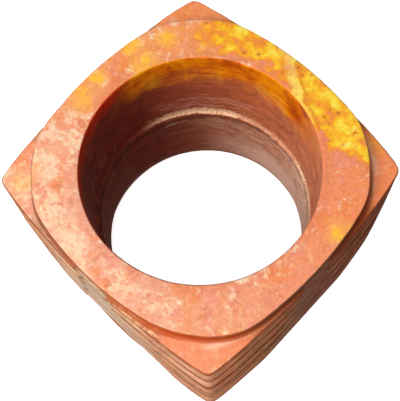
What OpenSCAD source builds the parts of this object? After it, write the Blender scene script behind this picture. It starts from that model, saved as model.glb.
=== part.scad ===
// Jade cong: a square stone tube with four carved corner blocks and a round bore.
// It is carved from a single block of stone, so it is one solid.
// Millimetres, +Z up, origin on the bore axis in the plane of the foot.

/* [Tube] */
// Height from the foot to the top rim
height = 61; // [50:0.5:80]
// Height of the bare collar above and below the corner blocks
collar_h = 4; // [2:0.5:8]
// Distance between the middles of two opposite collar sides
collar_across = 76.8; // [72:0.2:77.6]
// Radius of the bow in each collar side
collar_bow_r = 91; // [70:1:200]
// Diameter of the circle that rounds off the collar's four corners
collar_round_d = 83.4; // [80:0.2:96]

/* [Corner blocks] */
// Distance between two neighbouring block corners, along one side
block_corner_w = 71.6; // [70:0.2:76]
// How far each side bows out beyond its two corners
block_bow = 3.3; // [2.5:0.1:5]
// Distance across two opposite corner edges, where they are worn round
block_across_corners = 100.4; // [96:0.2:101]
// Width of the plain channel between two blocks, down the middle of each side
channel_w = 10.6; // [4:0.2:30]

/* [Registers] */
// Depth of the grooves between the raised bars
groove_depth = 0.35; // [0.1:0.05:0.6]
// Width of the groove between the two bars of one tier
groove_w = 2; // [0.5:0.25:3]
// Width of the groove that divides the upper tier from the lower one
divide_w = 3; // [1:0.25:5]
// Height of the upper tier's first bar, right under the collar
first_bar_h = 9; // [4:0.5:12]
// Height of the upper tier's second bar
second_bar_h = 10; // [4:0.5:12]
// Height of the lower tier's first bar; its second bar takes what is left
third_bar_h = 8.5; // [4:0.5:12]

/* [Bore] */
// Diameter of the drilling made from the top
upper_bore_d = 60; // [40:0.5:64]
// Diameter of the drilling made from the foot
lower_bore_d = 58.4; // [38:0.2:62]
// Height above the foot where the two drillings meet in a ledge
ledge_z = 30; // [20:0.5:45]
// Sideways miss between the two drillings, along X
drill_miss = 0.6; // [0:0.1:1]
// Diameter of the worn mouth at the foot
foot_mouth_d = 61.6; // [60:0.2:66]
// Height of the flare from the foot mouth up to the drilled wall
foot_flare_h = 7; // [2:0.5:12]
// Width of the bevel around the top mouth
rim_bevel = 0.5; // [0.2:0.1:1.5]

/* [Hidden] */
$fn = 240;
// Overrun of a cut past the face that it opens
cut = 1;
block_h = height - 2 * collar_h;
block_top = height - collar_h;
// Radius of the arc through two neighbouring corners with the given bow
block_bow_r = (pow(block_corner_w / 2, 2) + pow(block_bow, 2)) / (2 * block_bow);
block_across = block_corner_w + 2 * block_bow;
// Tops of the bars below the first, from the upper collar down
second_bar_top = block_top - first_bar_h - groove_w;
third_bar_top = second_bar_top - second_bar_h - divide_w;
fourth_bar_top = third_bar_top - third_bar_h - groove_w;
// Each bar as its top and its height
bars = [
    [block_top, first_bar_h],
    [second_bar_top, second_bar_h],
    [third_bar_top, third_bar_h],
    [fourth_bar_top, fourth_bar_top - collar_h],
];

// A square with bowed sides, cut round at its corners by a circle
module bowed_square(across, bow_r, round_d, inset = 0) {
    intersection() {
        circle(d = round_d - 2 * inset);
        intersection_for (side = [0:90:270])
            rotate(side)
                translate([across / 2 - bow_r, 0])
                    circle(r = bow_r - inset);
    }
}

module tube_outline() {
    bowed_square(collar_across, collar_bow_r, collar_round_d);
}

module block_outline(inset = 0) {
    bowed_square(block_across, block_bow_r, block_across_corners, inset);
}

// The square that one corner block may fill, clear of the two channels beside it
module corner_quarters() {
    reach = block_across_corners / 2;
    for (corner = [0:90:270])
        rotate(corner)
            translate([channel_w / 2, channel_w / 2])
                square(reach);
}

// The four blocks with their raised bars, over the sunken ground of the grooves
module corner_blocks() {
    intersection() {
        union() {
            translate([0, 0, collar_h])
                linear_extrude(block_h)
                    block_outline(groove_depth);
            for (bar = bars)
                translate([0, 0, bar[0] - bar[1]])
                    linear_extrude(bar[1])
                        block_outline();
        }
        translate([0, 0, collar_h])
            linear_extrude(block_h)
                corner_quarters();
    }
}

// Drilled from both ends: the two cuts miss each other a little and leave a ledge
module bore() {
    translate([0, 0, ledge_z])
        cylinder(d = upper_bore_d, h = height - ledge_z + cut);
    translate([0, 0, height - rim_bevel])
        cylinder(d1 = upper_bore_d, d2 = upper_bore_d + 2 * (rim_bevel + cut), h = rim_bevel + cut);
    translate([drill_miss, 0, -cut])
        cylinder(d = lower_bore_d, h = ledge_z + 2 * cut);
    translate([drill_miss, 0, 0])
        cylinder(d1 = foot_mouth_d, d2 = lower_bore_d, h = foot_flare_h);
}

module cong_body() {
    color("sandybrown")
        difference() {
            union() {
                linear_extrude(height)
                    tube_outline();
                corner_blocks();
            }
            bore();
        }
}

cong_body();
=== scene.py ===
# %% [markdown]
# A jade cong is a squat tube of stone, square outside and round inside, cut from one block.
# Its four corners stand out as blocks, ringed with grooves, and a bare collar is left above and below.
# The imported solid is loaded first. It fixes the size and the place of everything that follows.

# %% Load the frame
import math

import bpy
import numpy as np
from mathutils import Matrix, Vector


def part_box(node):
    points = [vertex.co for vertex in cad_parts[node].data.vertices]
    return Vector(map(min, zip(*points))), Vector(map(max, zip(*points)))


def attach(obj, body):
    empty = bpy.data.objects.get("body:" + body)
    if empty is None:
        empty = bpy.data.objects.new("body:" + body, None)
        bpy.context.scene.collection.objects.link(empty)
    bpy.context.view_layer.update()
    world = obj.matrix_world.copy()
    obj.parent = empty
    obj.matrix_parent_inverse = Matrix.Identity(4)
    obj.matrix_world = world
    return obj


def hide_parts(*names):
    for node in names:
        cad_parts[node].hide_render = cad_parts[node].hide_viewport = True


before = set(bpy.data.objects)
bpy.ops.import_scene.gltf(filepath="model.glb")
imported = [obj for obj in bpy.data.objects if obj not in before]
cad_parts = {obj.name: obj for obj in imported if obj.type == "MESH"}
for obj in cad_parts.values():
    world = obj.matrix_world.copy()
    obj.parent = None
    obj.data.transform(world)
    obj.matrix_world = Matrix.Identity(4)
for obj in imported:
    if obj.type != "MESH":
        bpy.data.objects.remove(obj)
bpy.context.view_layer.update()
MM = 0.001
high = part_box("cong_body")[1]
height = high.z / MM
half_across = high.x / MM
print(f"the solid is {2 * half_across:.2f} mm across and {height:.2f} mm tall")

# %% [markdown]
# The camera stands above the front corner and looks down into the bore, a little turned about its own axis.
# A camera's columns are its right, its up and its back, so the matrix is built from these three directions.
# The Standard view shows colours as they are computed, with no film look laid over them.

# %% Camera
camera_azimuth = math.radians(47.55)
camera_elevation = math.radians(70.0)
camera_roll = math.radians(-4.6)
# Distance and aim in millimetres; the aim is counted in the picture, from the middle of the cong
camera_distance = 229.7
aim_right = -0.81
aim_up = 1.78

back = Vector((
    math.sin(camera_azimuth) * math.cos(camera_elevation),
    -math.cos(camera_azimuth) * math.cos(camera_elevation),
    math.sin(camera_elevation),
))
level = Vector((math.cos(camera_azimuth), math.sin(camera_azimuth), 0))
right = math.cos(camera_roll) * level + math.sin(camera_roll) * back.cross(level)
up = back.cross(right)
place = Vector((0, 0, height / 2)) + aim_right * right + aim_up * up + camera_distance * back

bpy.ops.object.camera_add()
camera = bpy.context.object
camera.name = "camera"
camera.data.lens = 73.47
camera.data.sensor_width = 36
camera.data.clip_start = 0.01
camera.matrix_world = Matrix.Translation(place * MM) @ Matrix((right, up, back)).transposed().to_4x4()
bpy.context.scene.camera = camera
bpy.context.scene.view_settings.view_transform = "Standard"
print("camera at", [round(v, 1) for v in place], "mm")

# %% [markdown]
# The carver works from the outside in: squares the block, drills it from both ends, sinks the collars
# and cuts the grooves. In Blender a boolean for each cut would leave long thin faces that shade badly.
# Here the wall's section is drawn once, turned on the spot like a pot, and then pressed into its square plan.
# That gives even faces everywhere, with rows that follow the grooves and columns that follow the corners.
# The section is drawn at round turning radii: 30 at the bore, 40 at the collar and 50 at the blocks.

# %% Sizes of the section, in millimetres
turned_bore = 30
turned_collar = 40
turned_block = 50
lower_bore = 29.2
drill_miss = 0.6
ledge_z = 30
foot_mouth = 30.8
foot_flare = 7
collar_h = 4
block_top = height - collar_h
arris = 0.55
# The bore's ledge is rounded at its inner edge and rises a little outwards
ledge_round = 0.3
ledge_rise = 0.2
# Distance between two rows of points: on the walls, in the bore, on flat faces and on the narrow ledge
row_pitch = 0.8
bore_pitch = 1.2
flat_pitch = 0.9
fine_pitch = 0.3
# Depth of the grooves, depth and half-width of the fine lines, and the slope at a bar's edges
groove_depth = 0.4
line_depth = 0.28
line_half = 0.45
edge_slope = 0.3
# The inner corner between a collar and a ledge is rounded over this width, by way of a point between
fillet = 0.4
fillet_mid = 0.12
# Each bar of a block: its top, its bottom and the fine lines that are scratched round it
bars = [
    (block_top, 48, (55, 52.6, 50.4)),
    (46, 36, (44, 41.6, 38.4)),
    (33, 24.5, (31, 26.9)),
    (22.5, collar_h, (17.4, 13, 6.5)),
]

# %% Draw the wall's section
bpy.ops.object.select_all(action="DESELECT")
bpy.ops.mesh.primitive_plane_add(size=MM, location=(foot_mouth * MM, 0, 0))
cong = bpy.context.object
cong.name = "jade_cong"
bpy.ops.object.mode_set(mode="EDIT")
bpy.ops.mesh.select_all(action="SELECT")
bpy.ops.mesh.merge(type="CENTER")
pen = Vector((foot_mouth, 0, 0))


def draw_to(radius, z, pitch=row_pitch):
    """Extrudes the selected vertex to a new place, in even steps."""
    global pen
    step_total = Vector((radius, 0, z)) - pen
    count = max(1, round(step_total.length / pitch))
    for _ in range(count):
        bpy.ops.mesh.extrude_vertices_move(TRANSFORM_OT_translate={"value": step_total / count * MM})
    pen = Vector((radius, 0, z))


def round_to(radius, z, turn_out):
    """Draws a quarter circle to a new place, for a worn edge; turn_out is True if it leaves upright."""
    start = pen.copy()
    for part in (0.25, 0.5, 0.75, 1):
        bend = part * math.pi / 2
        early, late = math.sin(bend), 1 - math.cos(bend)
        along, across = (late, early) if turn_out else (early, late)
        draw_to(start.x + (radius - start.x) * along, start.z + (z - start.z) * across, pitch=10)


# Up the bore: flared foot, lower drilling, ledge, upper drilling
draw_to(lower_bore, foot_flare, pitch=bore_pitch)
draw_to(lower_bore, ledge_z - ledge_round, pitch=bore_pitch)
round_to(lower_bore + ledge_round, ledge_z, turn_out=True)
draw_to(turned_bore, ledge_z + ledge_rise, pitch=fine_pitch)
draw_to(turned_bore, height - arris, pitch=bore_pitch)
round_to(turned_bore + arris, height, turn_out=True)
# Over the rim and down the collar
draw_to(turned_collar - arris, height, pitch=flat_pitch)
round_to(turned_collar, height - arris, turn_out=False)
draw_to(turned_collar, block_top + fillet)
draw_to(turned_collar + fillet_mid, block_top + fillet_mid)
# Over the block's top and down its face
draw_to(turned_collar + fillet, block_top)
draw_to(turned_block - arris, block_top, pitch=flat_pitch)
round_to(turned_block, block_top - arris, turn_out=False)
for bar_top, bar_bottom, lines in bars:
    if bar_top < block_top:
        draw_to(turned_block - groove_depth, bar_top)
        draw_to(turned_block, bar_top - edge_slope)
    for line in lines:
        draw_to(turned_block, line + line_half)
        draw_to(turned_block - line_depth, line)
        draw_to(turned_block, line - line_half)
    if bar_bottom > collar_h:
        draw_to(turned_block, bar_bottom + edge_slope)
        draw_to(turned_block - groove_depth, bar_bottom)
# Under the block, down the lower collar and back across the foot
draw_to(turned_block, collar_h + arris)
round_to(turned_block - arris, collar_h, turn_out=True)
draw_to(turned_collar + fillet, collar_h, pitch=flat_pitch)
draw_to(turned_collar + fillet_mid, collar_h - fillet_mid)
draw_to(turned_collar, collar_h - fillet)
draw_to(turned_collar, arris)
round_to(turned_collar - arris, 0, turn_out=True)
draw_to(foot_mouth, 0, pitch=bore_pitch)
print("the section closes at radius", pen.x, "mm and height", pen.z, "mm")

# %% [markdown]
# One spin turns the section into a full ring. The ring's last column lies on its first, so doubles are
# merged. A spin can leave the faces inside out, so the normals are worked out again while the shape is
# still simple.

# %% Spin the section
columns = 400
bpy.ops.mesh.select_all(action="SELECT")
bpy.ops.mesh.spin(steps=columns, angle=2 * math.pi, center=(0, 0, 0), axis=(0, 0, 1))
bpy.ops.mesh.select_all(action="SELECT")
bpy.ops.mesh.remove_doubles(threshold=0.02 * MM)
bpy.ops.mesh.normals_make_consistent(inside=False)
bpy.ops.object.mode_set(mode="OBJECT")
bpy.ops.object.transform_apply(location=True, rotation=True, scale=True)
triangles = sum(len(face.vertices) - 2 for face in cong.data.polygons)
print("turned ring:", len(cong.data.vertices), "vertices,", triangles, "triangles")

# %% [markdown]
# Seen from above, the collar and the blocks are squares with bowed sides and worn corners.
# A point on such a side is found by its angle: the side is an arc whose centre lies beyond the axis.
# Where two sides and the wear at the corner compete, the nearest wins, and a soft minimum rounds the change.

# %% Plan of the collar and the blocks
quarter = math.pi / 2
collar_plan = {"across": 76.8, "bow": 91, "round_off": 41.7, "worn": 0.5}
block_plan = {"across": 78.2, "bow": 195.8, "round_off": 50.4, "worn": 0.45}


def side_reach(angle, across, bow):
    """Distance from the axis to one bowed side, at an angle from the side's middle."""
    centre = across / 2 - bow
    return centre * np.cos(angle) + np.sqrt(bow**2 - (centre * np.sin(angle)) ** 2)


def plan_radius(angle, across, bow, round_off, worn):
    """Distance from the axis to the bowed square, at an angle from +X."""
    local = np.abs(angle - np.round(angle / quarter) * quarter)
    reaches = (side_reach(local, across, bow), side_reach(quarter - local, across, bow), round_off)
    return round_off - worn * np.log(sum(np.exp((round_off - reach) / worn) for reach in reaches))


def plan_point(angle, plan, inset):
    """Points on the bowed square, moved inwards along its own normal."""
    nudge = 0.001
    radius = plan_radius(angle, **plan)
    slope = (plan_radius(angle + nudge, **plan) - plan_radius(angle - nudge, **plan)) / (2 * nudge)
    out = np.stack([np.cos(angle), np.sin(angle)])
    ahead = np.stack([-np.sin(angle), np.cos(angle)])
    normal = radius * out - slope * ahead
    return radius * out - inset * normal / np.linalg.norm(normal, axis=0)


for name, plan in (("collar", collar_plan), ("blocks", block_plan)):
    corner = float(plan_radius(np.array([quarter / 2]), **plan)[0])
    print(f"{name}: {plan['across']} mm across the sides, {2 * corner:.1f} mm across the corners")

# %% [markdown]
# Down the middle of each side runs a plain channel that parts two blocks. Its edges were cut by eye:
# on the front they drift to one side as they go down. The columns of faces are gathered at these edges
# and at the corners, where the form turns fastest, and the columns follow the edges as they drift.

# %% Columns and channels
edge_angle = math.radians(7.75)
column_counts = (0, 6, 12, 36, 50)
column_angles = (0, 7.1, 8.5, 38, 45)
drift_top = 48
# Side by side from +X round to -Y: each edge's place along the side, at the top and at the foot
channel_edges = (
    ((-5.3, -2.2), (5.3, 5.8)),
    ((-5.3, -6.2), (5.3, 5.0)),
    ((-5.3, -5.0), (5.3, 6.4)),
    ((-5.3, -13.5), (5.3, 3.4)),
)


def smooth(value, start, end):
    """Eases from 0 at start to 1 at end."""
    share = np.clip((value - start) / (end - start), 0, 1)
    return share * share * (3 - 2 * share)


def gather(angle):
    """Moves evenly spaced columns towards the channel edges and the corners."""
    middle = np.round(angle / quarter) * quarter
    local = np.abs(angle - middle) / quarter * columns / 4
    return middle, np.sign(angle - middle) * np.radians(np.interp(local, column_counts, column_angles))


def drift(middle, local, z):
    """Moves the columns sideways, so that those at a channel's edges follow them down."""
    side = (np.round(middle / quarter).astype(int)) % 4
    share = np.clip((drift_top - z) / (drift_top - collar_h), 0, 1)
    edges = np.array(channel_edges)[side]
    lower, upper = (
        np.arctan((top + share * (foot - top)) / half_across)
        for top, foot in (edges[:, 0].T, edges[:, 1].T)
    )
    before = -quarter / 2 + (local + quarter / 2) * (lower + quarter / 2) / (quarter / 2 - edge_angle)
    between = lower + (local + edge_angle) * (upper - lower) / (2 * edge_angle)
    after = quarter / 2 + (local - quarter / 2) * (quarter / 2 - upper) / (quarter / 2 - edge_angle)
    return middle + np.where(local < -edge_angle, before, np.where(local > edge_angle, after, between))


# %% [markdown]
# Now the turned ring is pressed into the plan. Each point keeps its meaning: a turning radius of 40 is
# the collar's skin, 50 is the block's skin, and a point at 49.6 lies 0.4 mm deep in a groove.
# In a channel the blocks are missing, so their rows fall back on to the collar's plan there.
# Moving points in code is the honest way here: no operator knows this mapping.

# %% Read the turned ring
count = len(cong.data.vertices)
turned = np.empty(count * 3)
cong.data.vertices.foreach_get("co", turned)
turned = turned.reshape(-1, 3).T / MM
radius = np.hypot(turned[0], turned[1])
spun = np.arctan2(turned[1], turned[0])
z = turned[2]
middle, local = gather(spun)
angle = drift(middle, local, z)
is_block = smooth(np.abs(local), math.radians(7.2), math.radians(8.4))
# A channel grows shallow towards the foot, and the grooves run out before they reach it
foot_fill = 0.75
filled = 1 - (1 - is_block) * (1 - foot_fill + foot_fill * smooth(z, 6, 34))
groove_share = smooth(np.abs(local), math.radians(7.4), math.radians(9.6))
beyond_collar = radius > turned_collar + 0.01
on_ledge = beyond_collar & ((z > block_top - arris - 0.01) | (z < collar_h + arris + 0.01))

# %% Press it into the square plan
# Where a ledge is narrower than this, its rounded edges shrink with it
full_ledge = 2.4
ledge_width = plan_radius(angle, **block_plan) - plan_radius(angle, **collar_plan)
tight = np.minimum(1, ledge_width / full_ledge)
collar_skin = plan_point(angle, collar_plan, np.zeros(count))
# The bore and its edges stay round, but the lower drilling missed the upper one by a little
round_margin = 0.8
bore_skin = turned[:2] * np.minimum(1, (turned_bore + round_margin) / radius)
missed = np.where(z < ledge_z - 1, 1, np.clip((turned_bore - radius) / 0.5, 0, 1))
bore_skin[0] += drill_miss * missed * np.clip((34 - radius) / 3, 0, 1)
# Rim and foot: from the bore's circle out to the collar's square
rim_run = turned_collar - arris - turned_bore - round_margin
rim_share = np.clip((radius - turned_bore - round_margin) / rim_run, 0, 1)
edge_depth = np.where(rim_share < 1, arris, np.maximum(turned_collar - radius, 0))
collar_edge = plan_point(angle, collar_plan, edge_depth)
pressed = bore_skin + rim_share * (collar_edge - bore_skin)
# Ledges and block faces
from_collar = plan_point(angle, collar_plan, -np.clip(radius - turned_collar, 0, fillet) * tight)
depth = turned_block - radius
ledge_depth = np.minimum(depth, arris) * tight
from_block = plan_point(angle, block_plan, np.where(on_ledge, ledge_depth, depth * groove_share))
ledge_run = turned_block - arris - turned_collar - fillet
ledge_share = np.clip((radius - turned_collar - fillet) / ledge_run, 0, 1)
block_skin = from_collar + np.where(on_ledge, ledge_share, 1) * (from_block - from_collar)
pressed = np.where(beyond_collar, collar_skin + filled * (block_skin - collar_skin), pressed)

# %% [markdown]
# Where a ledge runs out into a channel, its rows would all lie on one line. They are spread a little
# up and down there, so that no face is left without an area.

# %% Spread the ledge rows in the channels
spread = 0.9
spread_start = 0.35
for face_z, way in ((block_top, 1), (collar_h, -1)):
    near = beyond_collar & (np.abs(z - face_z) < arris + 0.01)
    run = radius - turned_collar + way * (face_z + way * spread_start - z)
    along = run / (turned_block - turned_collar + spread)
    flat_z = face_z + way * (spread_start - along * spread)
    z = np.where(near, z * is_block + flat_z * (1 - is_block), z)

# %% [markdown]
# No corner of a hand-cut tube is quite like another. The right one is short at its top and full at its foot.
# Some sides are fuller than their arc, and so is the top collar at the front corner. The front wall falls
# back a little towards the foot, and the lower grooves sag between the corners. Each error is a soft push
# with a place, a width and a height, as with a broad sculpting brush.

# %% Leave the carver's errors in
# Corner signs, then how far the tip moves in X and Y at the top, half-way down and at the foot
corner_moves = (
    ((1, -1), (0.45, -0.05), (0.5, -0.2), (0.6, -0.5)),
    ((1, 1), (0.55, -1.45), (0.9, -0.7), (1.0, 0.2)),
    ((-1, 1), (0.1, 0.1), (0.1, 0.1), (0.1, 0)),
    ((-1, -1), (0.35, -0.1), (-0.5, -0.4), (-0.1, -0.3)),
)
# Where the corners' tips lie in X and Y, and how far from there a move still reaches
tip = 35.6
reach = 15
along_wall = np.where(np.abs(pressed[0]) > np.abs(pressed[1]), pressed[1], pressed[0])
outward = np.clip((radius - turned_collar) / 6, 0, 1)
weight = outward * is_block
down = np.clip(1 - z / block_top, 0, 1)
for signs, *moves in corner_moves:
    near = weight * np.exp(-sum((pressed[i] - signs[i] * tip) ** 2 for i in (0, 1)) / reach**2)
    for i in (0, 1):
        pressed[i] += near * np.interp(down, (0, 0.45, 1), [move[i] for move in moves])
# Where a side is fuller than its arc: its axis and sign, place and half-width, push at the top and the foot
fuller_sides = (
    (0, 1, 2, 24, 0.1, 0.9),
    (0, -1, 26, 10, 0.55, 0.4),
    (0, -1, -28, 9, 0.3, 0.2),
    (1, 1, 27, 9, 0.35, 0.3),
    (1, -1, 28, 9, 0, 0.4),
)
for axis, sign, place_along, half_width, at_top, at_foot in fuller_sides:
    on_side = beyond_collar & (pressed[axis] * sign > np.abs(pressed[1 - axis]))
    push = np.exp(-((pressed[1 - axis] - place_along) / half_width) ** 2)
    push *= at_top + (at_foot - at_top) * down
    pressed[axis] += np.where(on_side, sign * push * outward, 0)
# The top collar is fuller at the front corner than at the other three, and flatter just left of it
top_collar = np.clip((radius - 33) / 6, 0, 1) * np.clip((44 - radius) / 3, 0, 1) * smooth(z, 40, 56)
# Push, place in X and Y, and half-width
swells = ((0.7, 30.5, -29.5, 13), (-0.6, 23, -35, 10))
swell = sum(
    amount * np.exp(-((pressed[0] - place_x) ** 2 + (pressed[1] - place_y) ** 2) / half_width**2)
    for amount, place_x, place_y, half_width in swells
)
pressed[0] += swell * top_collar
pressed[1] -= swell * top_collar
# The front wall falls back, most a little right of its middle
fall_back = 0.9 * smooth(down, 0.15, 1) * np.exp(-((pressed[0] - 4) / 16) ** 2)
pressed[1] += np.where((pressed[1] < -30) & beyond_collar, fall_back, 0)
# How far the rows sag at the middle of a side, and the height and half-width of it
sags = ((2.6, 21, 8), (0.7, 35, 6))
sag = sum(amount * np.exp(-((z - at) / half_width) ** 2) for amount, at, half_width in sags)
z = z - np.where(beyond_collar, sag * (1 - (along_wall / tip) ** 2), 0)

cong.data.vertices.foreach_set("co", (np.stack([*pressed, z]) * MM).T.ravel())
cong.data.update()
print("pressed:", [round(2 * float(np.abs(pressed[i]).max()), 2) for i in (0, 1)], "mm across")

# %% [markdown]
# The finish needs to know where the stone is cut, worn or drilled. These facts are stored on the points
# as named attributes, which a material can read, so the colour follows the carving exactly.

# %% Store what each point is
face_row = beyond_collar & ~on_ledge
edge_rows = sum(np.exp(-((turned[2] - at) / 0.5) ** 2) for at in (block_top, collar_h))
edge_rows *= radius > turned_block - 1.2
edge_rows += np.exp(-((turned[2] - height) / 0.7) ** 2) * (np.abs(radius - turned_collar) < 1)
corner_column = smooth(np.abs(local), math.radians(43.2), math.radians(44.8)) * (radius > turned_block - 0.05)
# The painted shade in the corner between collar and ledge spreads widest at the right and at the back
nook_wide = 0.45 + 0.9 * np.exp(-((np.degrees(angle) - 28) / 20) ** 2)
behind = 0.9 * np.clip(np.cos(angle - math.radians(137.5)), 0, 1)
# Upright faces have no such corner, and in the channels only the foot has one
has_nook = np.maximum(is_block, turned[2] < collar_h - 0.1) * ~face_row
off_collar = (radius - turned_collar) * ledge_width / (turned_block - turned_collar)
beside_nook = np.exp(-((radius - turned_collar - 1.4 - nook_wide) / 1.3) ** 2)
facts = {
    "bored": (radius < turned_bore + 0.3) & (turned[2] > 0.2),
    "cut": np.clip(depth / line_depth, 0, 1.8) * face_row * groove_share,
    "arris": np.clip(edge_rows * is_block + corner_column, 0, 1),
    "nook_shade": np.exp(-((off_collar - 0.25) / (nook_wide + behind)) ** 4) * (turned[2] < height - 1) * has_nook,
    # A pale band on the ledges beside the collar: a painted reflection
    "shelf_reflection": beside_nook * (turned[2] > block_top - 1) * is_block,
}
lip_rows = [line + way * line_half for *_, lines in bars for line in lines for way in (-1, 1)]
lip_rows += [edge for top_z, bottom_z, _ in bars for edge in (top_z - edge_slope, bottom_z + edge_slope)]
at_lip = sum(np.abs(turned[2] - row) < 0.02 for row in lip_rows)
facts["lip"] = np.clip(at_lip, 0, 1) * face_row * groove_share
facts["narrow"] = on_ledge * smooth(ledge_width, 3.4, 1.6)
for name, values in facts.items():
    attribute = cong.data.attributes.new(name, "FLOAT", "POINT")
    attribute.data.foreach_set("value", np.asarray(values, np.float32))
    print(name, "covers", round(float(np.mean(values)), 3))

# %% [markdown]
# Grinding by hand leaves slow waves, the ground pits the skin, and handling chips the edges. Three Displace
# modifiers do this with cloud textures whose grain is a real size. The last one acts only on the arrises,
# through a vertex group.

# %% Wear
group = cong.vertex_groups.new(name="arrises")
for index in np.nonzero(facts["arris"] > 0.1)[0]:
    group.add([int(index)], float(facts["arris"][index]), "REPLACE")
# Name, size of the grain, height, level that stays put, contrast, and the group that it acts on
wear = (
    ("ground waves", 14, 0.22, 0.5, 1.0, ""),
    ("pitted skin", 2.2, 0.07, 0.5, 1.0, ""),
    ("chipped arrises", 3.0, -0.16, 0.55, 1.8, "arrises"),
)
bpy.ops.object.select_all(action="DESELECT")
cong.select_set(True)
bpy.context.view_layer.objects.active = cong
for name, grain, lift, still, contrast, only in wear:
    texture = bpy.data.textures.new(name, "CLOUDS")
    texture.noise_scale = grain * MM
    texture.noise_depth = 2
    texture.contrast = contrast
    bpy.ops.object.modifier_add(type="DISPLACE")
    modifier = cong.modifiers[-1]
    modifier.texture = texture
    modifier.strength = lift * MM
    modifier.mid_level = still
    modifier.vertex_group = only
    bpy.ops.object.modifier_apply(modifier=modifier.name)

# %% Keep it inside the solid's box, flat on its foot
worn = np.empty(count * 3)
cong.data.vertices.foreach_get("co", worn)
worn = worn.reshape(-1, 3) / MM
worn[:, :2] = np.clip(worn[:, :2], -half_across, half_across)
worn[:, 2] = np.clip(worn[:, 2], 0, height)
worn[turned[2] < 0.01, 2] = 0
cong.data.vertices.foreach_set("co", (worn * MM).ravel())
cong.data.update()
bpy.ops.object.shade_smooth()
print("worn:", [round(float(v), 2) for v in np.ptp(worn, axis=0)], "mm")

# %% [markdown]
# Every colour is written as the hex value that the eye would read on a screen. Blender works in linear
# light, so one function turns it. Another small function adds any node, with its settings and its links.

# %% Colour and node helpers


def shade(code):
    """An sRGB hex colour as linear RGBA."""
    parts = [int(code[i:i + 2], 16) / 255 for i in (1, 3, 5)]
    return (*(p / 12.92 if p <= 0.04045 else ((p + 0.055) / 1.055) ** 2.4 for p in parts), 1)


def open_tree(owner):
    """Clears the nodes of a material or the world; add() works there from now on."""
    global tree
    owner.use_nodes = True
    tree = owner.node_tree
    tree.nodes.clear()


def add(kind, inputs, out=0, stops=(), **settings):
    """Adds a node, sets it, links it and returns one of its outputs."""
    made = tree.nodes.new(kind)
    for name, value in settings.items():
        setattr(made, name, value)
    for socket, value in inputs.items():
        if isinstance(value, bpy.types.NodeSocket):
            tree.links.new(value, made.inputs[socket])
        else:
            made.inputs[socket].default_value = shade(value) if isinstance(value, str) else value
    for i, (position, colour) in enumerate(stops):
        point = made.color_ramp.elements[i] if i < 2 else made.color_ramp.elements.new(position)
        point.position = position
        point.color = shade(colour)
    return made.outputs[out] if made.outputs else made


# %% [markdown]
# The stone is nephrite that has lain in the ground: its green has weathered to a red-brown skin with
# cream clouds, and one side has turned yellow. It was ground, polished with fine grit and handled, so it is
# waxy rather than glassy. All patterns read Object coordinates, turned into millimetres first.

# %% Jade: where a point lies
eased = {"interpolation_type": "SMOOTHSTEP"}
colours = {"out": 2, "data_type": "RGBA"}
jade = bpy.data.materials.new("weathered_nephrite_jade")
open_tree(jade)
spot = add("ShaderNodeTexCoord", {}, out="Object")
spot = add("ShaderNodeVectorMath", {0: spot, "Scale": 1 / MM}, operation="SCALE")
x, y, z_up = add("ShaderNodeSeparateXYZ", {0: spot}).node.outputs
across_top = add("ShaderNodeMath", {0: x, 1: y}, operation="ADD")
turn = add("ShaderNodeMath", {0: y, 1: x}, operation="ARCTAN2")
around = add("ShaderNodeMapRange", {0: turn, 1: -math.pi, 2: math.pi})
flat = add("ShaderNodeCombineXYZ", {0: x, 1: y})
from_axis = add("ShaderNodeVectorMath", {0: flat}, out="Value", operation="LENGTH")
bored, cut, arris_mask, nook_shade, shelf_reflection, lip, narrow = (
    add("ShaderNodeAttribute", {}, out="Fac", attribute_name=name) for name in facts
)


def bearing(degrees):
    """The place of a direction, counted round from +X, on a ramp that runs once round the axis."""
    return (degrees + 180) / 360


def round_axis(*colours_at):
    """Directions in degrees, each with a colour, as the stops of such a ramp."""
    return [(bearing(degrees), code) for degrees, code in colours_at]


# %% [markdown]
# Mottling comes from a few noises of different grain. The colour output of a noise holds three unrelated
# patterns of the same grain, so each noise is split and serves three times. Their values lie around one
# half, so a narrow range of them, widened by Map Range, makes clouds with soft or hard edges.

# %% Jade: clouds and grain
grain_sizes = (
    # Name, size in millimetres, detail, roughness, distortion
    ("broad", 9, 3, 0.55, 0.4),
    ("clouds", 4.2, 4, 0.62, 0.8),
    ("grains", 1.7, 4, 0.65, 0.5),
    ("flecks", 0.75, 3, 0.7, 0.0),
)
noises = {}
for name, size, detail, rough, bend in grain_sizes:
    noise = add("ShaderNodeTexNoise", {
        "Vector": spot, "Scale": 1 / size, "Detail": detail, "Roughness": rough, "Distortion": bend,
    }, out="Color")
    noises[name] = add("ShaderNodeSeparateXYZ", {0: noise}).node.outputs
broad, clouds, grains, flecks = noises.values()

# %% [markdown]
# One more noise bends the edges of the zones that follow, so that none of them ends on a clean line.
# Others are stretched, each with the size of its marks in millimetres. On the top they are short feathery
# strokes, which all lie roughly one way. On the walls they are long marks of weathering and of tools.

# %% Jade: strokes and wandering edges
stroke_way = math.radians(47.5)
stroke_size = (0.9, 3.2, 2)
strokes = add("ShaderNodeMapping", {
    "Vector": spot, "Rotation": (0, 0, stroke_way), "Scale": stroke_size,
}, vector_type="TEXTURE")
strokes = add("ShaderNodeTexNoise", {"Vector": strokes, "Scale": 1, "Detail": 3, "Distortion": 0.35})
wander_size = 6
wander = add("ShaderNodeTexNoise", {
    "Vector": spot, "Scale": 1 / wander_size, "Detail": 4, "Roughness": 0.65,
}, out="Color")
wander = add("ShaderNodeVectorMath", {0: wander, 1: (0.5, 0.5, 0.5)}, operation="SUBTRACT")
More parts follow.
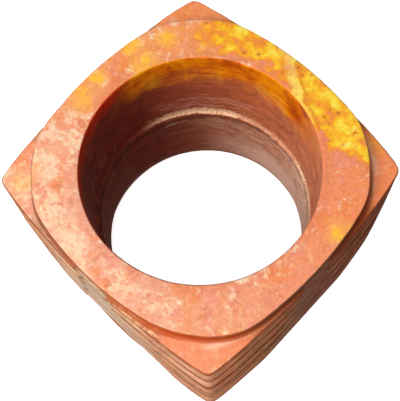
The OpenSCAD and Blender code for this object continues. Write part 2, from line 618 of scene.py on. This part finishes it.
# The noise's span in millimetres: wide for the edges of zones, narrow for small marks
wide_span = (14, 14, 14)
narrow_span = (5, 5, 5)
strayed = add("ShaderNodeVectorMath", {0: wander, 1: wide_span, 2: spot}, operation="MULTIPLY_ADD")
nudged = add("ShaderNodeVectorMath", {0: wander, 1: narrow_span, 2: spot}, operation="MULTIPLY_ADD")
stray_x, stray_y, stray_z = add("ShaderNodeSeparateXYZ", {0: strayed}).node.outputs

# %% Jade: long marks on the walls
mark_sizes = (
    # Name, size in millimetres along X, Y and Z, detail, roughness
    ("streaks", (9, 9, 1.0), 4, 0.65),
    ("scored", (16, 16, 0.9), 3, 0.6),
    ("rings", (9, 9, 0.5), 4, 0.65),
    ("scratches", (1.1, 1.1, 16), 2, 0.5),
)
marks = {}
for name, size, detail, rough in mark_sizes:
    mark = add("ShaderNodeMapping", {"Vector": nudged, "Scale": size}, vector_type="TEXTURE")
    mark = add("ShaderNodeTexNoise", {"Vector": mark, "Scale": 1, "Detail": detail, "Roughness": rough})
    marks[name] = mark
streaks, scored, rings, scratches = marks.values()

# %% [markdown]
# The polished top changes from creamy pink at the front left to brick orange at the right. The paler front
# left is partly the stone and partly a painted sheen.
# A colour ramp that runs once round the axis holds these colours. Orange, rosy and deeper clouds are laid
# over it, and close to the bore the stone is a little darker. The whole finish is built up in this way, so
# one function lays a layer: its colour, a pattern and the two values between which it fades in, how strong
# it grows, and the masks that keep it to its zone.

# %% Jade: the ground colour of the top


def lay(under, colour, pattern, start, end, strength=1, only=()):
    """Lays a colour over another where a pattern has passed from start to end, within all the masks."""
    share = add("ShaderNodeMapRange", {0: pattern, 1: start, 2: end, 4: strength}, **eased)
    for mask in only:
        share = add("ShaderNodeMath", {0: share, 1: mask}, operation="MULTIPLY")
    return add("ShaderNodeMix", {0: share, 6: under, 7: colour}, **colours)


# Ground colour round the axis; its paler stops at the front left are partly painted sheen
ring = add("ShaderNodeValToRGB", {"Fac": around}, stops=round_axis(
    (-180, "#F09A60"), (-155, "#F09C74"), (-110, "#F4B69C"), (-75, "#F2AE90"), (-40, "#EF9E76"),
    (-10, "#F0966E"), (30, "#F0905F"), (80, "#EE8A54"), (150, "#F29E60"), (179, "#F09A60"),
))
deep = add("ShaderNodeMath", {0: clouds[2], 1: grains[1]}, operation="ADD")
top = ring
for pattern, start, end, strength, code in (
    (broad[0], 0.5, 0.64, 0.6, "#EE8440"),
    (clouds[1], 0.5, 0.64, 0.6, "#EC9480"),
    (deep, 0.98, 0.7, 0.6, "#DA7448"),
    (from_axis, 34, 31.2, 0.3, "#D87C60"),
):
    top = lay(top, code, pattern, start, end, strength)

# %% [markdown]
# Cream clouds lie where the skin is worn thin, most of them at the left and the front, where they are partly
# a painted sheen as well. Their centres are listed. They don't colour the stone themselves: they raise the
# share of the pale grain there.

# %% Jade: cream clouds


def spots(centres, where, outer, inner):
    """1 on listed spots of the top, 0 outside them; the limits are shares of each spot's size."""
    share = 0
    for cx, cy, size in centres:
        gap = add("ShaderNodeVectorMath", {0: where, 1: (cx, cy, height)}, out="Value", operation="DISTANCE")
        ball = add("ShaderNodeMapRange", {0: gap, 1: size * outer, 2: size * inner}, **eased)
        share = add("ShaderNodeMath", {0: share, 1: ball}, operation="MAXIMUM")
    return share


cream_centres = (
    # X, Y and size, in millimetres
    (-31, -17, 5), (-30, -26, 4.5), (-20, -32, 5), (-8, -35, 4.5), (8, -35, 4), (19, -30, 3.5),
    (26, -13, 3), (30, -3, 2.5), (-33, -34, 6), (-15, 33, 3),
)
cream = spots(cream_centres, strayed, 1.7, 0.3)
pale = add("ShaderNodeMath", {0: clouds[0], 1: grains[0]}, operation="ADD")
pale = add("ShaderNodeMath", {0: cream, 1: 0.17, 2: pale}, operation="MULTIPLY_ADD")
# Paler towards the front left: a painted sheen laid into the colour
painted_sheen_side = add("ShaderNodeMapRange", {0: across_top, 1: -45, 2: 30, 3: 0.05, 4: -0.03})
pale = add("ShaderNodeMath", {0: pale, 1: painted_sheen_side}, operation="ADD")
pale = add("ShaderNodeMapRange", {0: pale, 1: 1.03, 2: 1.32, 4: 0.82}, **eased)
top = add("ShaderNodeMix", {0: pale, 6: top, 7: "#F8D0AA"}, **colours)
chalky = add("ShaderNodeMath", {0: pale, 1: 0.2, 2: flecks[2]}, operation="MULTIPLY_ADD")
top = lay(top, "#FAE0BE", chalky, 0.6, 0.78, 0.5)
stroke_patch = add("ShaderNodeMapRange", {0: broad[2], 1: 0.46, 2: 0.6, 4: 0.55}, **eased)
top = lay(top, "#F9CE94", strokes, 0.54, 0.74, only=[stroke_patch])

# %% [markdown]
# One side has weathered to amber yellow. How far it has gone is one number: the zone's reach, which is
# bounded by straight lines in plan, plus noise. A ramp turns the number into colour, from the orange of its
# border through amber to lemon, so the islands inside get the same orange borders as in the stone.

# %% Jade: how far the yellow has gone
slant = add("ShaderNodeMath", {0: stray_x, 1: -0.43, 2: stray_y}, operation="MULTIPLY_ADD")
right_end = add("ShaderNodeMapRange", {0: slant, 1: 13.5, 2: 18.5}, **eased)
left_end = add("ShaderNodeMapRange", {0: stray_x, 1: -32, 2: -18}, **eased)
inner_left = add("ShaderNodeMapRange", {0: around, 1: bearing(64), 2: bearing(128), 3: 28.5, 4: 34})
inner_right = add("ShaderNodeMapRange", {0: around, 1: bearing(62), 2: bearing(40), 3: 28.5, 4: 36})
inner_line = add("ShaderNodeMath", {0: inner_left, 1: inner_right}, operation="MAXIMUM")
stray_flat = add("ShaderNodeCombineXYZ", {0: stray_x, 1: stray_y})
outside = add("ShaderNodeVectorMath", {0: stray_flat}, out="Value", operation="LENGTH")
outside = add("ShaderNodeMath", {0: outside, 1: inner_line}, operation="SUBTRACT")
outside = add("ShaderNodeMapRange", {0: outside, 1: -3.5, 2: 3.5}, **eased)
ledge_share = add("ShaderNodeMapRange", {0: x, 1: -10, 2: 20, 3: 0.72, 4: 0.22})
below_rim = add("ShaderNodeMapRange", {0: z_up, 1: block_top, 2: height - 1, 3: ledge_share, 4: 1})
islands = add("ShaderNodeMapRange", {0: broad[2], 1: 0.5, 2: 0.64, 3: 1, 4: 0.68}, **eased)
reach_in = right_end
for part in (left_end, outside, below_rim, islands):
    reach_in = add("ShaderNodeMath", {0: reach_in, 1: part}, operation="MULTIPLY")

# %% Jade: the yellow side
patch_size = 3.4
yellow_patch = add("ShaderNodeTexNoise", {"Vector": nudged, "Scale": 1 / patch_size, "Detail": 1.5})
yellow = add("ShaderNodeMath", {0: yellow_patch, 1: 2.8, 2: reach_in}, operation="MULTIPLY_ADD")
yellow = add("ShaderNodeMath", {0: grains[2], 1: 1.0, 2: yellow}, operation="MULTIPLY_ADD")
yellow = add("ShaderNodeMapRange", {0: yellow, 1: 1.9, 2: 3.75})
honey = add("ShaderNodeValToRGB", {"Fac": yellow}, stops=(
    (0.08, "#EC8450"), (0.24, "#F0923C"), (0.4, "#F5A62E"),
    (0.54, "#FABF30"), (0.68, "#FCD43C"), (0.9, "#FAE468"),
))
is_yellow = add("ShaderNodeMapRange", {0: yellow, 1: 0.02, 2: 0.3}, **eased)
allowed = add("ShaderNodeMapRange", {0: reach_in, 1: 0.04, 2: 0.4})
is_yellow = add("ShaderNodeMath", {0: is_yellow, 1: allowed}, operation="MULTIPLY")
top = add("ShaderNodeMix", {0: is_yellow, 6: top, 7: honey}, **colours)

# %% Jade: soft yellow spots
yellow_spots = (
    # X, Y and size, in millimetres
    (-30, 11, 3.6), (-36, 0, 2.6), (-35, -7, 4.2), (-36, 12, 3), (36, 10, 3.4), (-31, 20, 3),
    (-31.5, -32.5, 5), (28, 36, 4.5),
)
glow = spots(yellow_spots, nudged, 1.4, 0)
glow_grain = add("ShaderNodeMapRange", {0: clouds[0], 1: 0.36, 2: 0.6, 3: 0.35, 4: 1.3})
glow = add("ShaderNodeMath", {0: glow, 1: glow_grain}, operation="MULTIPLY", use_clamp=True)
top = add("ShaderNodeMix", {0: glow, 6: top, 7: "#FFBE3C"}, **colours)

# %% [markdown]
# A pale vein crosses the yellow side from the outer edge to the bore, with a rusty line along it.
# It is a straight line in plan, read from nudged coordinates. Brown specks with an orange halo lie on this
# side only: the largest are listed one by one, and Voronoi cells scatter the small ones between them.

# %% Jade: vein and specks
vein_start = (-0.5, 36.5, height)
vein_across = (0.549, 0.836, 0)
aside = add("ShaderNodeVectorMath", {0: nudged, 1: vein_start}, operation="SUBTRACT")
aside = add("ShaderNodeVectorMath", {0: aside, 1: vein_across}, out="Value", operation="DOT_PRODUCT")
in_zone = add("ShaderNodeMapRange", {0: reach_in, 1: 0.5, 2: 0.8}, **eased)
for middle_line, wide, strength, code in ((-1.5, 1.9, 0.45, "#FAE684"), (0.5, 0.7, 0.6, "#D87830")):
    off_line = add("ShaderNodeMath", {0: aside, 1: middle_line}, operation="SUBTRACT")
    off_line = add("ShaderNodeMath", {0: off_line}, operation="ABSOLUTE")
    top = lay(top, code, off_line, wide, wide * 0.3, strength, only=[in_zone])
cell_size = 2.2
cells = add("ShaderNodeTexVoronoi", {"Vector": spot, "Scale": 1 / cell_size, "Randomness": 1}).node
chosen = add("ShaderNodeSeparateXYZ", {0: cells.outputs["Color"]})
speck_gap = cells.outputs["Distance"]
speck_gap = add("ShaderNodeMath", {0: chosen, 1: 0.45, 2: speck_gap}, operation="MULTIPLY_ADD")
speck_gap = add("ShaderNodeMath", {0: speck_gap, 1: cell_size}, operation="MULTIPLY")
large_specks = (
    (-23.3, 29.3), (-11, 35.9), (-10, 32.8), (2.3, 36),
    (4, 37.5), (15.8, 33.7), (13.9, 30.6), (22.4, 32.4),
)
for cx, cy in large_specks:
    gap = add("ShaderNodeVectorMath", {0: spot, 1: (cx, cy, height)}, out="Value", operation="DISTANCE")
    speck_gap = add("ShaderNodeMath", {0: speck_gap, 1: gap}, operation="MINIMUM")
speck_gap = add("ShaderNodeMath", {0: flecks[1], 1: 2.4, 2: speck_gap}, operation="MULTIPLY_ADD")
for wide, core, strength, code in ((2.5, 1.5, 0.6, "#EE8E34"), (1.75, 1.1, 0.8, "#A05A1E")):
    top = lay(top, code, speck_gap, wide, core, strength, only=[is_yellow])
low_down = add("ShaderNodeMapRange", {0: z_up, 1: height - 1, 2: block_top + 1, 4: 0.4})
top = lay(top, "#F0844C", across_top, -45, -15, only=[low_down])
top_level = add("ShaderNodeMapRange", {0: flecks[0], 1: 0.25, 2: 0.75, 3: 0.88, 4: 1.12})
top = add("ShaderNodeVectorMath", {0: top, "Scale": top_level}, operation="SCALE")

# %% [markdown]
# The walls were never polished as well as the top. The one that faces front is tan, and greyish in its
# channel. The ones that face right and back keep a dark brown skin, made darker still as painted shade. A
# ramp round the axis holds these, and a grey ramp over height darkens some of the bars, with painted shade at
# the foot. Pale clouds lie on the sides that face away from the front, and level streaks and scored lines run
# along all of them. The cut lines are darker, and the lips beside them are worn bright.

# %% Jade: the walls
upright = add("ShaderNodeMapRange", {0: z_up, 2: height})
# Round the axis: the right and back walls are darker, partly as painted shade
skin_and_shade = add("ShaderNodeValToRGB", {"Fac": around}, stops=round_axis(
    (-180, "#A46C48"), (-155, "#AC7450"), (-136, "#A4603E"), (-112, "#BC8E6E"), (-90, "#C09E82"),
    (-62, "#BC886A"), (-46, "#CE9074"), (-41, "#CC7A56"), (-28, "#9E603C"), (5, "#763C24"), (40, "#682C10"),
    (90, "#935A2C"), (140, "#8C4C2C"), (179.5, "#A46C48"),
))
bar_tones = (
    # Height in millimetres, and the colour that the skin is multiplied by; the dark stop at 5 mm is painted
    # shade at the foot
    (5, "#B8A094"), (9, "#F4F0EC"), (12, "#FFFFFF"), (16, "#DCD4CE"), (20, "#BEB0A8"),
    (25, "#DCD4CE"), (29, "#F0EAE6"), (34, "#B8A8A0"), (38, "#F8F4F0"), (43, "#FFFFFF"),
    (46.5, "#B8A8A0"), (49, "#FFFFFF"), (53, "#F4F0EC"), (55.5, "#C8B8AE"),
)
bar_tones = [(at / height, code) for at, code in bar_tones]
bar_tone = add("ShaderNodeValToRGB", {"Fac": upright}, stops=bar_tones)
wall = add("ShaderNodeMix", {0: 1.0, 6: skin_and_shade, 7: bar_tone}, blend_type="MULTIPLY", **colours)
wall = lay(wall, "#9A5434", broad[1], 0.48, 0.64, 0.5)
unseen = add("ShaderNodeMapRange", {0: x, 1: 30, 2: 0}, **eased)
behind = add("ShaderNodeMapRange", {0: y, 1: -32, 2: -26}, **eased)
wall = lay(wall, "#D8A078", broad[2], 0.44, 0.64, 0.4, only=[unseen, behind])
streak_level = add("ShaderNodeMapRange", {0: streaks, 1: 0.34, 2: 0.66, 3: 0.52, 4: 1.52})
wall = add("ShaderNodeVectorMath", {0: wall, "Scale": streak_level}, operation="SCALE")
lip_level = add("ShaderNodeMapRange", {0: grains[1], 1: 0.35, 2: 0.62, 3: 0.15, 4: 0.95})
lip_level = add("ShaderNodeMath", {0: lip, 1: lip_level}, operation="MULTIPLY")
lip_level = add("ShaderNodeMath", {0: lip_level, 1: 1}, operation="ADD")
wall = add("ShaderNodeVectorMath", {0: wall, "Scale": lip_level}, operation="SCALE")
scored = add("ShaderNodeMapRange", {0: scored, 1: 0.5, 2: 0.62}, **eased)
scored_where = add("ShaderNodeMapRange", {0: clouds[2], 1: 0.42, 2: 0.56, 3: 0.2, 4: 0.8}, **eased)
scored_side = add("ShaderNodeMapRange", {0: y, 1: -28, 2: 2, 3: 1.1, 4: 0.4})
for part in (scored_where, scored_side):
    scored = add("ShaderNodeMath", {0: scored, 1: part}, operation="MULTIPLY", use_clamp=True)
wall = add("ShaderNodeMix", {0: scored, 6: wall, 7: "#D2A070"}, **colours)
# The cut lines are darkened by an uneven amount
cut_dark_level = add("ShaderNodeMapRange", {0: clouds[0], 1: 0.38, 2: 0.58, 3: 0.6, 4: 0.95}, **eased)
cut_dark = add("ShaderNodeMath", {0: cut, 1: 1}, operation="MINIMUM")
cut_dark = add("ShaderNodeMath", {0: cut_dark, 1: cut_dark_level}, operation="MULTIPLY")
wall = add("ShaderNodeMix", {0: cut_dark, 6: wall, 7: "#56200E"}, **colours)

# %% [markdown]
# In the front wall's channel, and softly to both sides of it, the stone is paler and greyer. The channel
# leans left as it goes down, so its middle is worked out from the height. Cream patches spread over the
# upper bars of that wall. The collar's own wall is thin stone; a warm red glow, as of light that entered the
# top and shows through it, is painted into its colour, above all at the front corner.

# %% Jade: the front channel
leaning = add("ShaderNodeMapRange", {0: z_up, 1: collar_h, 2: drift_top, 3: -9, 4: 2})
channel = add("ShaderNodeMath", {0: x, 1: leaning}, operation="SUBTRACT")
channel = add("ShaderNodeMath", {0: channel}, operation="ABSOLUTE")
channel_low = add("ShaderNodeMapRange", {0: stray_z, 1: 46, 2: 34}, **eased)
front_side = add("ShaderNodeMapRange", {0: y, 1: -30, 2: -34}, **eased)
uncut = add("ShaderNodeMapRange", {0: cut_dark, 3: 1, 4: 0})
wall = lay(wall, "#CDB8A4", channel, 27, 6, 0.5, only=[channel_low, front_side, uncut])

# %% Jade: cream on the front wall, and the collar
seam_glow_and_shade = add("ShaderNodeValToRGB", {"Fac": around}, stops=round_axis(
    (-180, "#6E3C24"), (-130, "#824A2C"), (-85, "#B0603A"), (-56, "#BE4E1A"), (-38, "#B04A18"),
    (-24, "#843A1A"), (0, "#5E2E1C"), (32, "#8A3212"), (60, "#9A4A1C"), (120, "#8E4E26"),
    (179.5, "#6E3C24"),
))
high_bar = add("ShaderNodeMapRange", {0: z_up, 1: 46, 2: 55.5, 4: 0.9}, **eased)
wall_cream = add("ShaderNodeMath", {0: grains[0], 1: clouds[1]}, operation="ADD")
not_corner = add("ShaderNodeMapRange", {0: x, 1: 29, 2: 21}, **eased)
not_left = add("ShaderNodeMapRange", {0: x, 1: -6, 2: 5, 3: 0.2}, **eased)
cream_zone = [front_side, high_bar, not_corner, not_left]
wall = lay(wall, "#F4D2A2", wall_cream, 0.94, 1.12, only=cream_zone)
# The collar's wall takes these colours: a painted red glow of light through thin stone
wall = lay(wall, seam_glow_and_shade, z_up, block_top, block_top + fillet, 0.8)

# %% [markdown]
# The bore's wall goes round the axis from light at the right to maroon at the left, and below the ledge it
# is paler at the right: partly the stone's colour, partly painted light at the right and painted shade at the
# left. The ledge itself was never polished: it is pale where it is widest, and ragged, with a thin dark line
# along its lower edge. At the right and the back its pale is partly painted light.

# %% Jade: the bore
# Round the axis: pale at the right partly as painted light, maroon at the left partly as painted shade
bore_upper = add("ShaderNodeValToRGB", {"Fac": around}, stops=round_axis(
    (-180, "#7A342A"), (-135, "#642C22"), (-60, "#8A4636"), (0, "#C87858"), (50, "#DC8660"),
    (105, "#C4683F"), (130, "#B25A3C"), (150, "#A04E34"), (167, "#80372A"),
))
bore_lower = add("ShaderNodeValToRGB", {"Fac": around}, stops=round_axis(
    (-180, "#70362A"), (-130, "#66382F"), (-60, "#8A4A38"), (0, "#D8A080"), (50, "#F8CCB0"),
    (85, "#D49676"), (120, "#BE7C60"), (140, "#98543C"), (160, "#78392A"),
))
under = add("ShaderNodeMapRange", {0: z_up, 1: 29.8, 2: 29.2})
bore = add("ShaderNodeMix", {0: under, 6: bore_upper, 7: bore_lower}, **colours)
bore = lay(bore, "#9A4A34", clouds[2], 0.48, 0.64, 0.45)

# %% [markdown]
# The tube drill turned with wet sand and left fine rings all over the wall. They are a noise stretched
# along the wall's turn and squeezed over height. They show most in two pale bands at the back, one above
# the ledge and one below it.

# %% Jade: drilling rings
ring_level = add("ShaderNodeMapRange", {0: rings, 1: 0.3, 2: 0.7, 3: 0.58, 4: 1.36})
bore = add("ShaderNodeVectorMath", {0: bore, "Scale": ring_level}, operation="SCALE")
arch = add("ShaderNodeValToRGB", {"Fac": around}, stops=round_axis(
    (90, "#000000"), (112, "#FFFFFF"), (152, "#FFFFFF"), (166, "#000000"),
))
ring_marks = add("ShaderNodeMapRange", {0: rings, 1: 0.5, 2: 0.62}, **eased)
ring_marks = add("ShaderNodeMath", {0: ring_marks, 1: arch}, operation="MULTIPLY")
for wide, middle_z, strength, code in ((9, 36, 0.7, "#CFA08C"), (8, 25, 0.55, "#C4A484")):
    off_band = add("ShaderNodeMath", {0: stray_z, 1: middle_z}, operation="SUBTRACT")
    off_band = add("ShaderNodeMath", {0: off_band}, operation="ABSOLUTE")
    bore = lay(bore, code, off_band, wide / 2, wide / 4, strength, only=[ring_marks])

# %% Jade: painted light on the right of the bore
lit_turn = add("ShaderNodeValToRGB", {"Fac": around}, stops=round_axis(
    (0, "#404040"), (35, "#FFFFFF"), (95, "#FFFFFF"), (135, "#000000"),
))
# Pale warm colour where light falls on the right of the bore, high up and low down: painted light
for start, end, strength, code in ((45, 56, 0.4, "#FCA478"), (22, 11, 0.7, "#F8CEB6")):
    bore = lay(bore, code, stray_z, start, end, strength, only=[lit_turn])

# %% Jade: the ledge
# The grain lies around one half, so a ragged height reads about 2.5 more than the real one
ragged_z = add("ShaderNodeMath", {0: grains[0], 1: 5, 2: z_up}, operation="MULTIPLY_ADD")
above = add("ShaderNodeMapRange", {0: ragged_z, 1: 31.4, 2: 32.2}, **eased)
ledge_top = add("ShaderNodeMapRange", {0: around, 1: bearing(98), 2: bearing(120), 3: 33.3, 4: 34.2})
ledge_fade = add("ShaderNodeMath", {0: ledge_top, 1: 1.1}, operation="ADD")
below = add("ShaderNodeMapRange", {0: ragged_z, 1: ledge_fade, 2: ledge_top}, **eased)
under_line = add("ShaderNodeMapRange", {0: ragged_z, 1: 31.9, 2: 31.5}, **eased)
under_fade = add("ShaderNodeMapRange", {0: ragged_z, 1: 29.9, 2: 31.1, 4: 0.55}, **eased)
ragged_edge = add("ShaderNodeMath", {0: grains[0], 1: 0.9, 2: from_axis}, operation="MULTIPLY_ADD")
outer_part = add("ShaderNodeMapRange", {0: ragged_edge, 1: 29.6, 2: 29.8}, **eased)
inner_part = add("ShaderNodeMath", {0: 1, 1: outer_part}, operation="SUBTRACT")
under_line = add("ShaderNodeMath", {0: under_line, 1: inner_part}, operation="MAXIMUM")
over_ledge = add("ShaderNodeMapRange", {0: z_up, 1: 30.4, 2: 30.2})
for part in (under_fade, over_ledge):
    under_line = add("ShaderNodeMath", {0: under_line, 1: part}, operation="MULTIPLY")
bore = add("ShaderNodeMix", {0: under_line, 6: bore, 7: "#4A2418"}, **colours)
# Pale on the ledge at the right and the back, partly painted light from above
ledge_pale = add("ShaderNodeValToRGB", {"Fac": around}, stops=round_axis(
    (-180, "#000000"), (-20, "#404040"), (40, "#D0D0D0"), (60, "#F0F0F0"), (76, "#A0A0A0"),
    (104, "#A8A8A8"), (117, "#F0F0F0"), (151, "#F0F0F0"), (170, "#000000"),
))
for part in (above, below, outer_part):
    ledge_pale = add("ShaderNodeMath", {0: ledge_pale, 1: part}, operation="MULTIPLY")
ledge_stone = add("ShaderNodeMapRange", {0: flecks[0], 1: 0.34, 2: 0.6}, **eased)
ledge_stone = add("ShaderNodeMix", {0: ledge_stone, 6: "#C8946C", 7: "#FFDAB4"}, **colours)
bore = add("ShaderNodeMix", {0: ledge_pale, 6: bore, 7: ledge_stone}, **colours)

# %% [markdown]
# The amber of the top runs down the back of the wall, where it is streaked with rust.
# At the left, near the rim, a red glow of light through the thin stone is painted, and pale scratches run
# down the wall.

# %% Jade: amber, painted red glow at the rim, and scratches
amber_foot = add("ShaderNodeMapRange", {0: around, 1: bearing(60), 2: bearing(170), 3: 43.5, 4: 48})
amber_head = add("ShaderNodeMath", {0: amber_foot, 1: 9.5}, operation="ADD")
amber_turn = add("ShaderNodeValToRGB", {"Fac": around}, stops=round_axis(
    (-180, "#585858"), (-172, "#000000"), (40, "#000000"), (60, "#A8A8A8"), (76, "#FFFFFF"),
    (170, "#FFFFFF"), (179.5, "#5C5C5C"),
))
amber_mix = add("ShaderNodeMath", {0: clouds[0], 1: 0.5, 2: broad[0]}, operation="MULTIPLY_ADD")
amber_mix = add("ShaderNodeMath", {0: rings, 1: 0.5, 2: amber_mix}, operation="MULTIPLY_ADD")
for start, end, shift in ((140, 158, 0.2), (162, 175, -0.16)):
    amber_shift = add("ShaderNodeMapRange", {0: around, 1: bearing(start), 2: bearing(end), 4: shift})
    amber_mix = add("ShaderNodeMath", {0: amber_mix, 1: amber_shift}, operation="ADD")
amber_mix = add("ShaderNodeMapRange", {0: amber_mix, 1: 0.72, 2: 1.24})
amber = add("ShaderNodeValToRGB", {"Fac": amber_mix}, stops=(
    (0.12, "#B4460A"), (0.36, "#D25C08"), (0.56, "#EC7C06"), (0.75, "#FC9206"), (0.95, "#FFAC10"),
))
bore = lay(bore, amber, stray_z, amber_foot, amber_head, only=[amber_turn])
# Where the rim's painted red glow lies round the axis
rim_glow_turn = add("ShaderNodeValToRGB", {"Fac": around}, stops=round_axis(
    (-180, "#FFFFFF"), (-120, "#B0B0B0"), (-60, "#404040"), (60, "#404040"), (90, "#000000"),
    (168, "#202020"), (179.5, "#F8F8F8"),
))
bore = lay(bore, "#DC3A12", stray_z, 53, height, only=[rim_glow_turn])
scratch_turn = add("ShaderNodeMapRange", {0: x, 1: -20, 2: -27}, **eased)
front_half = add("ShaderNodeMapRange", {0: y, 1: 4, 2: -8}, **eased)
bore = lay(bore, "#A07470", scratches, 0.58, 0.72, 0.5, only=[scratch_turn, front_half])

# %% [markdown]
# The zones are put together by the facts stored on the points, and by the way that a face looks: what lies
# flat shares the ground colour of the top, what stands takes the wall's. On the ledges a pale band runs
# beside the collar as a painted reflection, and the corner itself is darkened as painted shade. A thin dark
# line follows the top edge of each block.

# %% Jade: put together
upward = add("ShaderNodeNewGeometry", {}, out="Normal")
upward = add("ShaderNodeSeparateXYZ", {0: upward}, out=2)
lying = add("ShaderNodeMath", {0: upward}, operation="ABSOLUTE")
steep = add("ShaderNodeMapRange", {0: lying, 1: 0.96, 2: 0.88, 4: 0.85}, **eased)
lying = add("ShaderNodeMapRange", {0: lying, 1: 0.5, 2: 0.8}, **eased)
colour = add("ShaderNodeMix", {0: lying, 6: wall, 7: top}, **colours)
rounded_over = add("ShaderNodeMath", {0: narrow, 1: 0.75}, operation="MULTIPLY")
colour = add("ShaderNodeMix", {0: rounded_over, 6: colour, 7: wall}, **colours)
# A painted reflection: a pale band on the ledges beside the collar
shelf_side = add("ShaderNodeMapRange", {0: across_top, 1: -6, 2: 4}, **eased)
shelf_grain = add("ShaderNodeMapRange", {0: clouds[1], 1: 0.38, 2: 0.54, 3: 0.35, 4: 1}, **eased)
not_narrow = add("ShaderNodeMapRange", {0: narrow, 3: 1, 4: 0})
shelf_turn = add("ShaderNodeMapRange", {0: around, 1: bearing(-15), 2: bearing(5), 3: 1, 4: 0.55})
shelf_reflection_share = shelf_reflection
for part in (shelf_side, shelf_grain, not_narrow, shelf_turn):
    shelf_reflection_share = add("ShaderNodeMath", {0: shelf_reflection_share, 1: part}, operation="MULTIPLY")
colour = add("ShaderNodeMix", {0: shelf_reflection_share, 6: colour, 7: "#F8C8A8"}, **colours)
# A thin dark line along the top edge of each block, on its rounded arris
edge_low = add("ShaderNodeMapRange", {0: z_up, 1: block_top - 1.4, 2: block_top - 0.6}, **eased)
edge_high = add("ShaderNodeMapRange", {
    0: z_up, 1: block_top + 0.6, 2: block_top + 1.6, 3: 1, 4: 0.2,
}, **eased)
edge_tone = arris_mask
for part in (steep, edge_low, edge_high):
    edge_tone = add("ShaderNodeMath", {0: edge_tone, 1: part}, operation="MULTIPLY")
colour = add("ShaderNodeMix", {0: edge_tone, 6: colour, 7: "#8E3E22"}, **colours)
# Painted shade in the corner between collar and ledge, in the seam's colours
nook_shade_level = add("ShaderNodeMath", {0: nook_shade, 1: 0.85}, operation="MULTIPLY")
colour = add("ShaderNodeMix", {0: nook_shade_level, 6: colour, 7: seam_glow_and_shade}, **colours)
colour = add("ShaderNodeMix", {0: bored, 6: colour, 7: bore}, **colours)

# %% Jade: relief and gloss
relief_height = add("ShaderNodeMath", {0: flecks[1], 1: 0.35}, operation="MULTIPLY")
relief_height = add("ShaderNodeMath", {0: grains[0], 1: 0.65, 2: relief_height}, operation="MULTIPLY_ADD")
relief = add("ShaderNodeBump", {"Strength": 0.5, "Distance": 0.12 * MM, "Height": relief_height})
gloss = add("ShaderNodeMapRange", {0: clouds[0], 1: 0.3, 2: 0.7, 3: 0.36, 4: 0.5})
gloss = add("ShaderNodeMix", {0: lying, 2: 0.85, 3: gloss})
stone = add("ShaderNodeBsdfPrincipled", {
    "Base Color": colour, "Roughness": gloss, "Normal": relief, "IOR": 1.61,
    "Specular IOR Level": 0.04, "Subsurface Weight": 0.12, "Subsurface Radius": (1.0, 0.35, 0.15),
    "Subsurface Scale": 1.2 * MM,
})
add("ShaderNodeOutputMaterial", {"Surface": stone})
cong.data.materials.append(jade)
print("the jade has", len(tree.nodes), "nodes")

# %% [markdown]
# The stage is a white floor. It is only moderately bright for light that bounces, and plain white
# for the camera and for reflections, so the page stays white and the stone isn't washed out.

# %% Floor and world
bpy.ops.object.select_all(action="DESELECT")
bpy.ops.mesh.primitive_plane_add(size=4, location=(0, 0, 0))
floor = bpy.context.object
floor.name = "floor"
paper = bpy.data.materials.new("matt_white_paper")
world = bpy.data.worlds.new("studio")
bpy.context.scene.world = world


def plainly_seen():
    """1 for a ray that shows the background as it is: from the camera, off a gloss or through glass."""
    path = add("ShaderNodeLightPath", {}).node.outputs
    seen = path["Is Camera Ray"]
    for ray in ("Is Glossy Ray", "Is Transmission Ray"):
        seen = add("ShaderNodeMath", {0: seen, 1: path[ray]}, operation="MAXIMUM")
    return seen


open_tree(paper)
lit = add("ShaderNodeBsdfDiffuse", {"Color": "#DCDCDC"})
glow = add("ShaderNodeEmission", {"Color": "#FFFFFF", "Strength": 0.86})
both = add("ShaderNodeAddShader", {0: lit, 1: glow})
add("ShaderNodeOutputMaterial", {"Surface": add("ShaderNodeMixShader", {0: plainly_seen(), 1: lit, 2: both})})
floor.data.materials.append(paper)

open_tree(world)
dim = add("ShaderNodeBackground", {"Color": "#FFFFFF", "Strength": 0.16})
white = add("ShaderNodeBackground", {"Color": "#FFFFFF", "Strength": 1})
add("ShaderNodeOutputWorld", {"Surface": add("ShaderNodeMixShader", {0: plainly_seen(), 1: dim, 2: white})})

# %% [markdown]
# The main light comes from the front left, as from a window, so the far wall of the bore is lit and its
# left wall is in deep shade. A second soft light hangs above: it reaches the ledge and the paper in the bore.
# Both are large, which keeps the shadows soft. Their strengths add up to about 1 on the top of the cong.

# %% Light
lamps = (
    # Name, direction that it comes from and height above the horizon in degrees,
    # size and distance in metres, power in watts
    ("window", -95, 47, 0.55, 0.8, 5.4),
    ("overhead", -60, 82, 0.5, 0.8, 2.1),
)
for name, direction, rise, size, away, power in lamps:
    bpy.ops.object.light_add(type="AREA")
    lamp = bpy.context.object
    lamp.name = name
    lamp.data.shape = "DISK"
    lamp.data.size = size
    lamp.data.energy = power
    side = math.cos(math.radians(rise))
    towards = Vector((
        side * math.cos(math.radians(direction)),
        side * math.sin(math.radians(direction)),
        math.sin(math.radians(rise)),
    ))
    lamp.location = towards * away + Vector((0, 0, height / 2 * MM))
    lamp.rotation_euler = (-towards).to_track_quat("-Z", "Y").to_euler()
    on_top = power * math.sin(math.radians(rise)) / (math.pi * away) ** 2
    print(name, "lights the top at a level of", round(on_top, 2))

# %% Hand over
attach(cong, "root")
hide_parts("cong_body")
bpy.context.view_layer.update()
